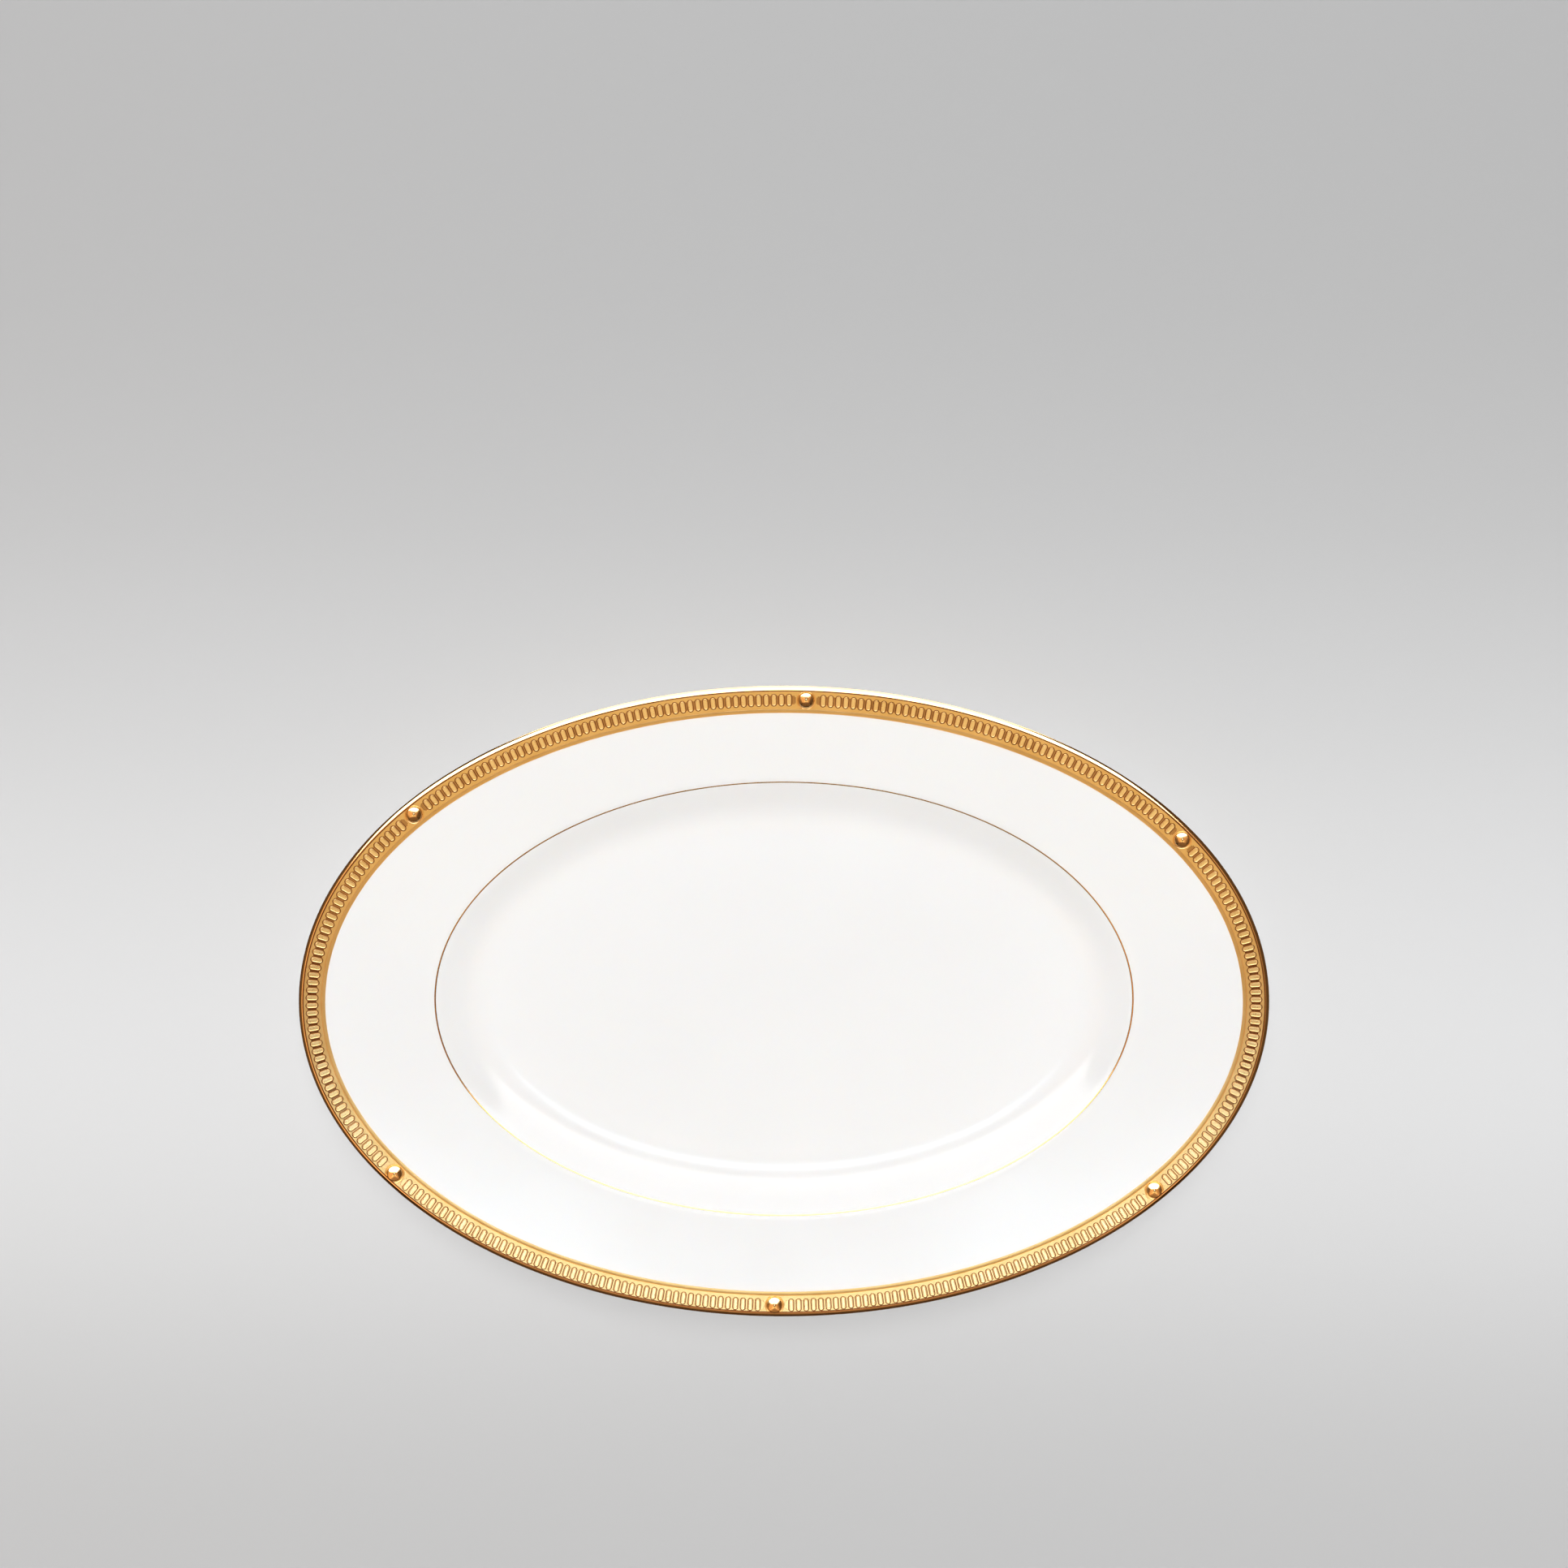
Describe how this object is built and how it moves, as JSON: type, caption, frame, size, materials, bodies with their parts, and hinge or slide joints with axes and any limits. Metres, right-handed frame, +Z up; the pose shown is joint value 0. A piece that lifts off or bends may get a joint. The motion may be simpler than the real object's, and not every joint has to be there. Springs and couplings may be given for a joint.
{
  "type": "oval serving platter",
  "caption": "Small oval white china platter with a wide sloping rim, a flat well, a foot ring and a gilded edge band of upright links and domed beads.",
  "frame": {"origin": "middle of the foot's resting plane", "axes": "+X along the platter's long axis, +Y across it, +Z up out of the well"},
  "size_m": [0.216, 0.1404, 0.0197],
  "materials": {
    "porcelain_glaze": "clear gloss glaze over warm white china",
    "unglazed_foot": "unglazed, ground smooth",
    "burnished_gold": "burnished bright gold",
    "satin_gold": "satin gold",
    "strip_gold": "satin gold, a little deeper in colour",
    "link_gold": "satin gold with burnished tops"
  },
  "bodies": {
    "root": {"platter_body": "porcelain_glaze", "foot_ring": "unglazed_foot", "rim_edge_gilding": "burnished_gold", "rim_band_ground": "satin_gold", "rim_inner_strip": "strip_gold", "verge_line": "burnished_gold", "bead_1": "burnished_gold", "bead_2": "burnished_gold", "bead_3": "burnished_gold", "bead_4": "burnished_gold", "bead_5": "burnished_gold", "bead_6": "burnished_gold", "link_row_1": "link_gold", "link_row_2": "link_gold", "link_row_3": "link_gold", "link_row_4": "link_gold", "link_row_5": "link_gold", "link_row_6": "link_gold"}
  },
  "joints": []
}
